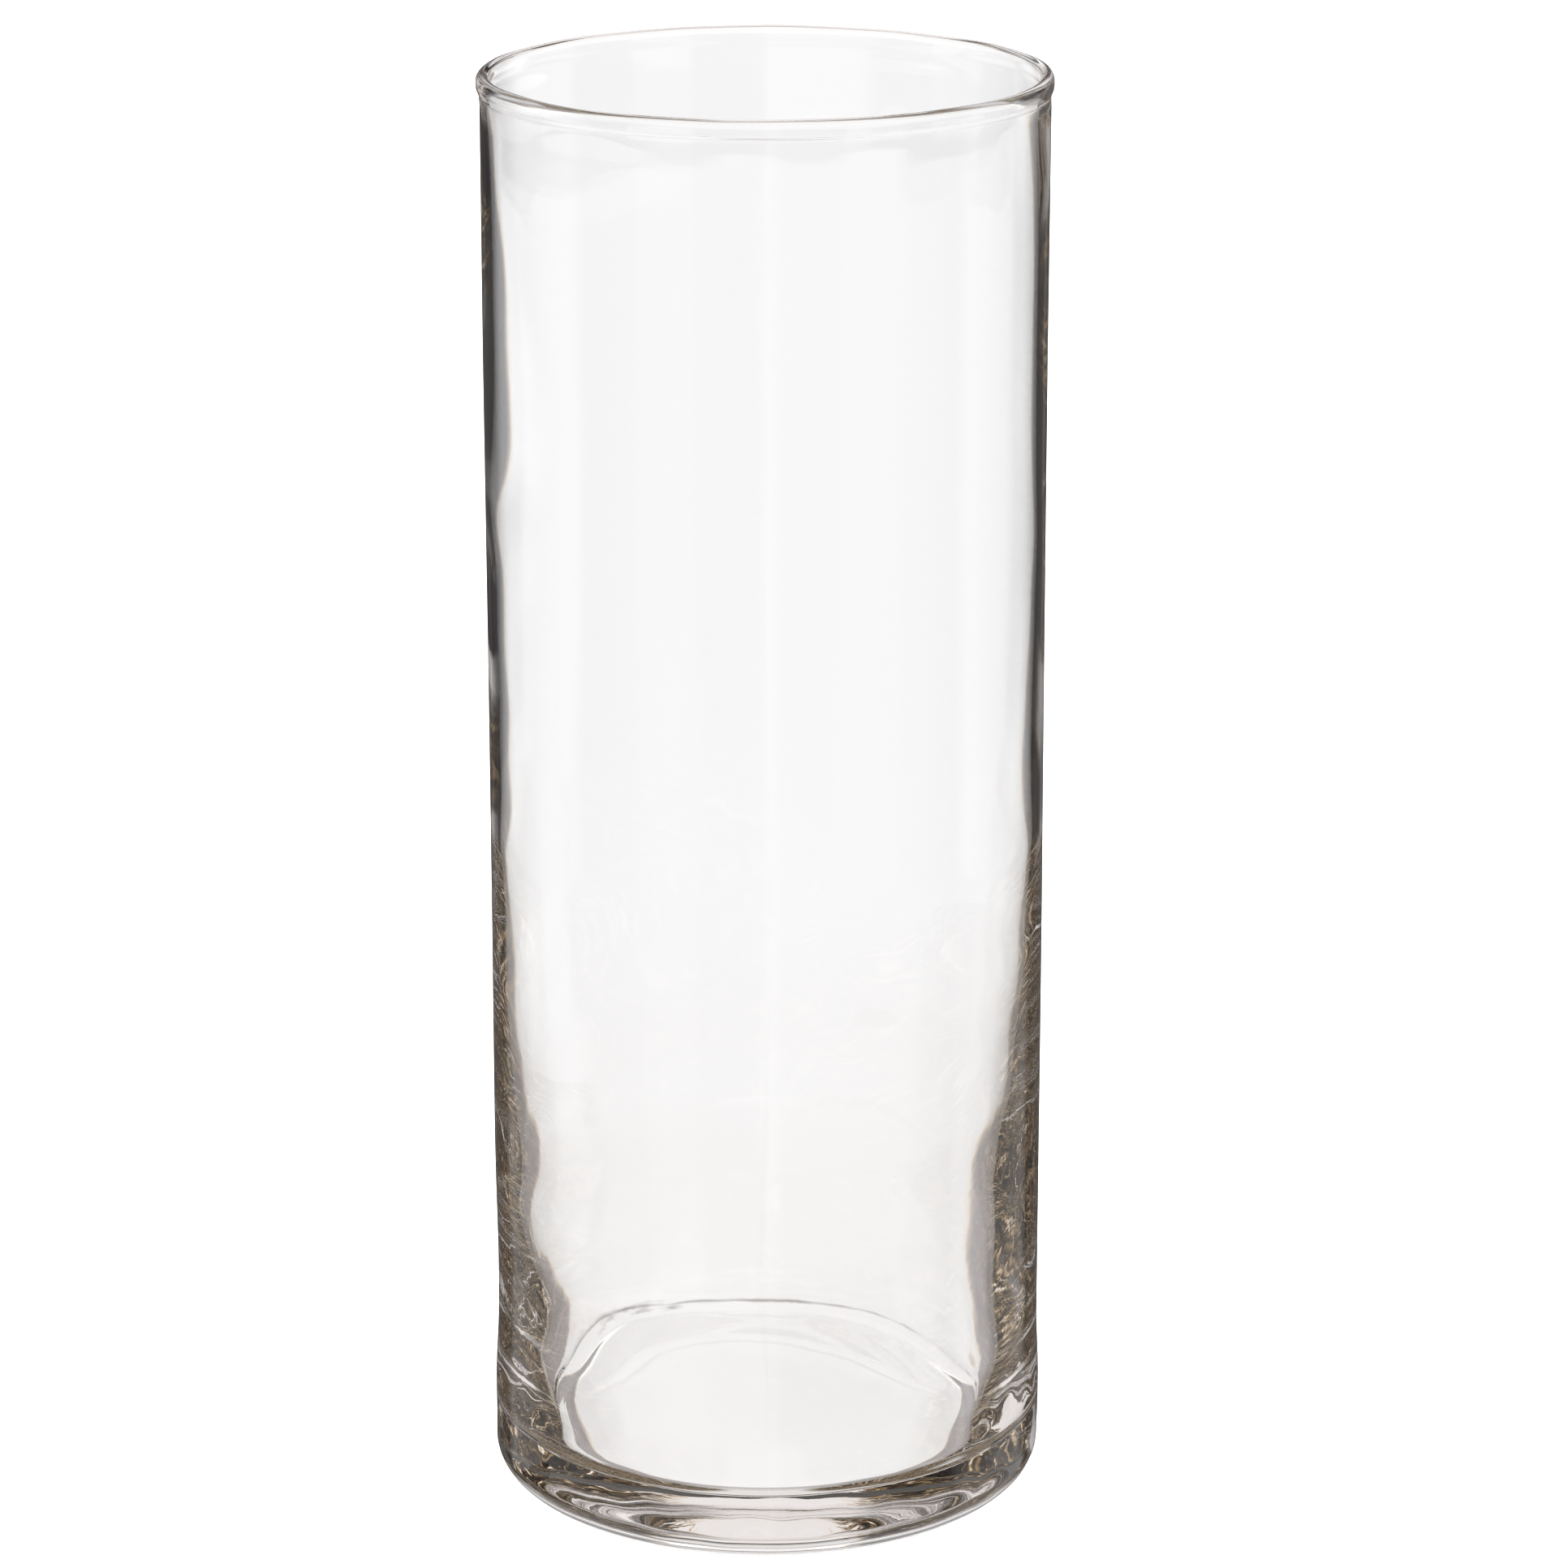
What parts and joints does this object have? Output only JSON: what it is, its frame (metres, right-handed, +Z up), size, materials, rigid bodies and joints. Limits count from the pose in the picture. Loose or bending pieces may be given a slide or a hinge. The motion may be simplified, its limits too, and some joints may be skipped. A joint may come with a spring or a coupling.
{
  "type": "glass cylinder vase",
  "caption": "Tall clear glass cylinder vase with a fire-polished bead rim, a wall that thickens towards the foot and a heavy solid base.",
  "frame": {"origin": "centre of the foot, on the plane the vase stands on", "axes": "+Z up along the vase's axis, towards the mouth; the vase is round, so X and Y are free"},
  "size_m": [0.091, 0.091, 0.235],
  "materials": {
    "clear_glass": "clear and colourless, fire-polished"
  },
  "bodies": {
    "root": {"glass_vase": "clear_glass"}
  },
  "joints": []
}
